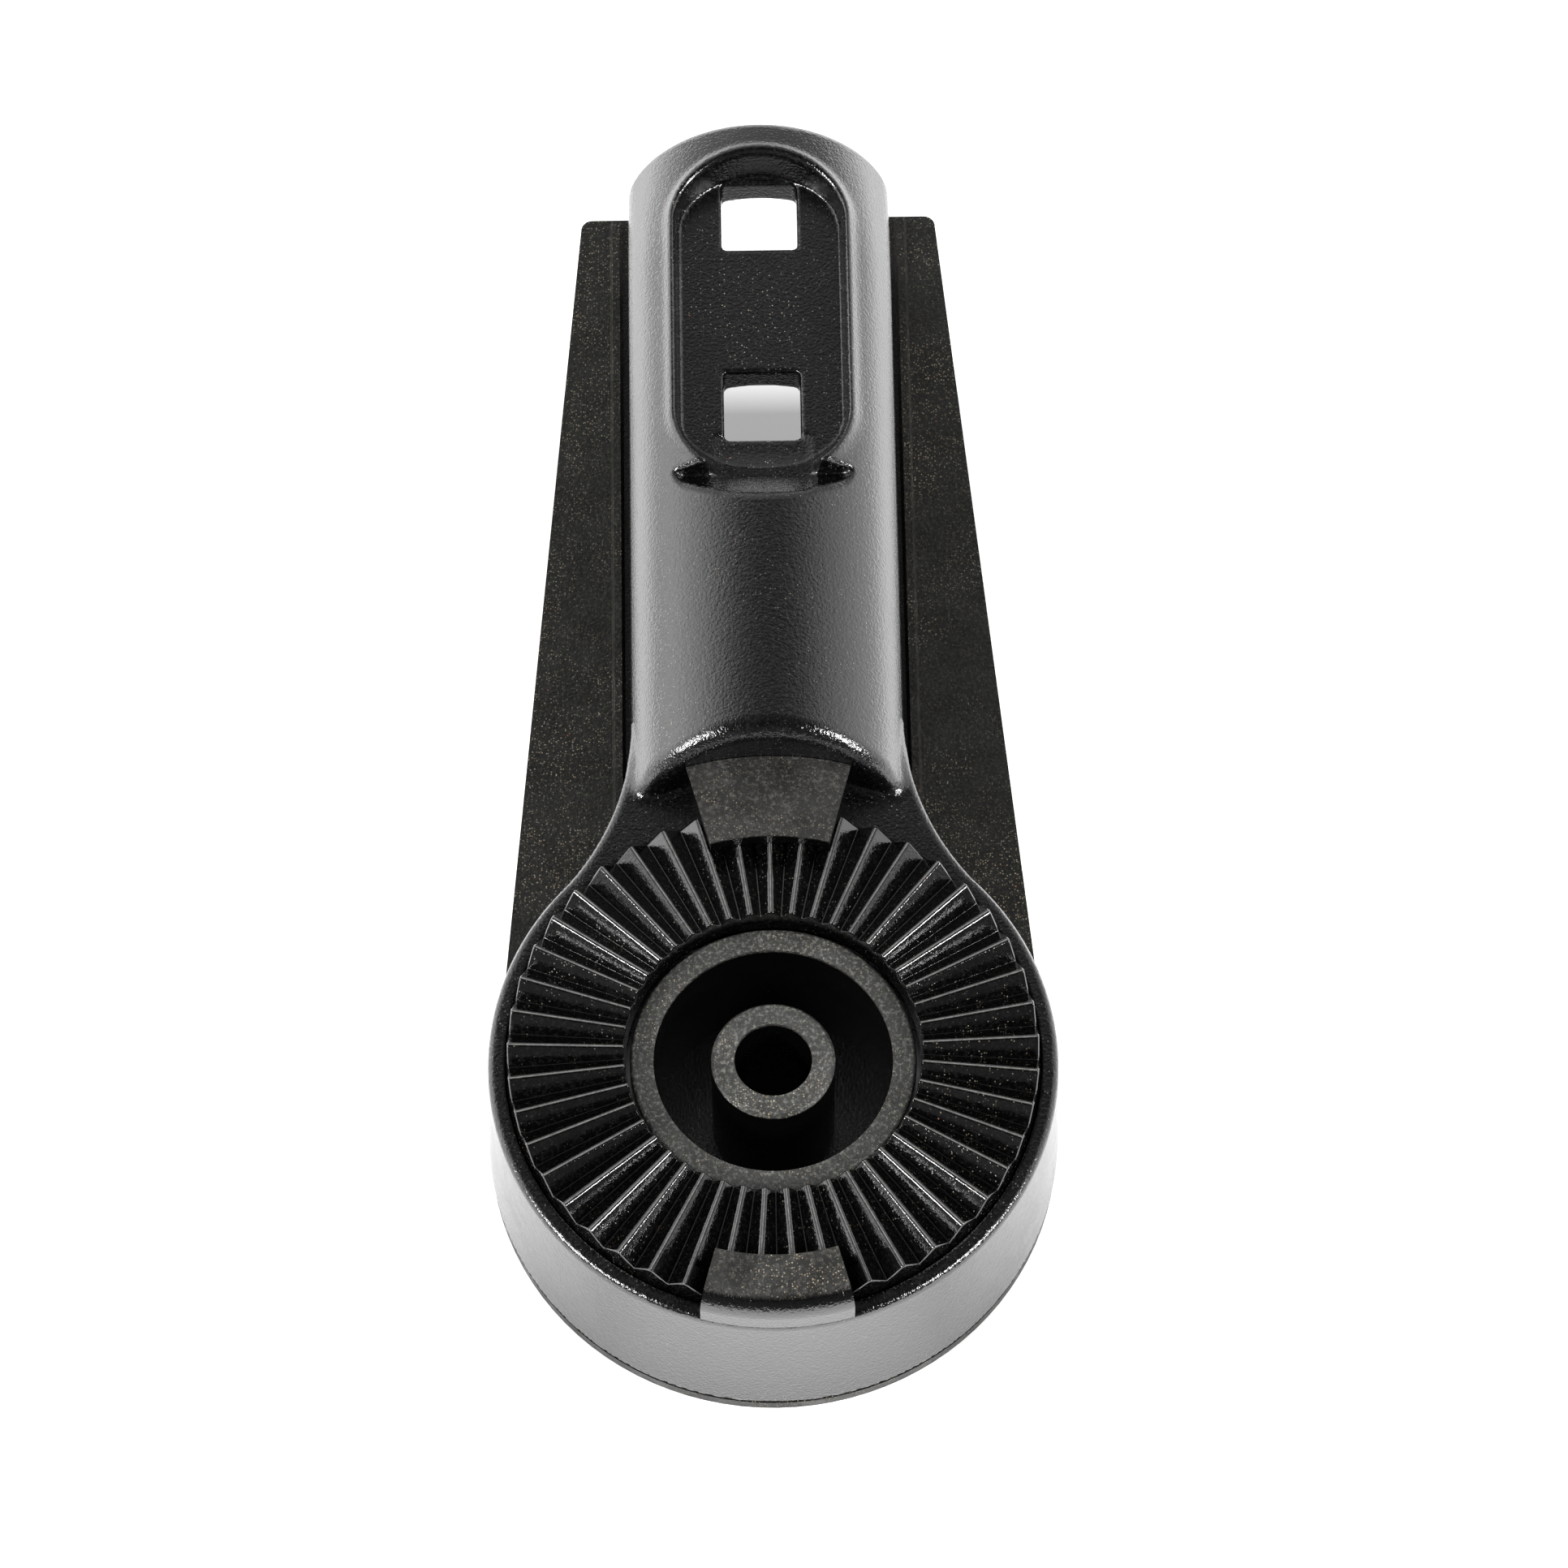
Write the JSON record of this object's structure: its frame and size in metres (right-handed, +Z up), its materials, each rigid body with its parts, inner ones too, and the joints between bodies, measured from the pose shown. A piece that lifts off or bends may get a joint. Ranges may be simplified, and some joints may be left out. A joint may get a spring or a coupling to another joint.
{
  "type": "window crank operator arm",
  "caption": "Hollow operator arm with a toothed clamping hub, pivoting on a cup fixed to a tapered, ribbed base plate.",
  "frame": {"origin": "centre of the pivot bore at the boss's top face", "axes": "+Z up along the pivot bore, +Y along the arm to its end, +X to the right"},
  "size_m": [0.0614, 0.1457, 0.033],
  "materials": {
    "gloss_coat": "gloss black coat with fine orange peel",
    "ring_coat": "gloss black",
    "satin_coat": "matt charcoal with fine grain",
    "plate_coat": "matt dark grey with dust",
    "steel": "bright zinc",
    "polymer": "natural acetal",
    "bronze": "sintered bronze"
  },
  "bodies": {
    "base": {"base_plate": "plate_coat", "pivot_cup": "satin_coat", "cup_rivets": "steel", "stop_pin": "steel", "thrust_washer": "polymer", "friction_washer": "polymer", "retaining_ring": "steel"},
    "arm": {"arm_housing": "gloss_coat", "lower_bush": "bronze", "upper_bush": "bronze", "seat_washer": "steel", "ring_spring": "steel", "lug_front": "satin_coat", "lug_rear": "satin_coat", "lug_screws": "steel"},
    "ring": {"tooth_ring": "ring_coat"}
  },
  "joints": [
    {"name": "arm_swing", "type": "hinge", "parent": "base", "child": "arm", "pos_m": [0, 0, 0], "axis": [0, 0, 1], "range_deg": [-110, 110]},
    {"name": "ring_press", "type": "slide", "parent": "arm", "child": "ring", "axis": [0, 0, -1], "range_m": [0, 0.0016], "stiffness_N_per_m": 6000, "springref_m": -0.0005, "deforming": ["ring_spring"]}
  ]
}
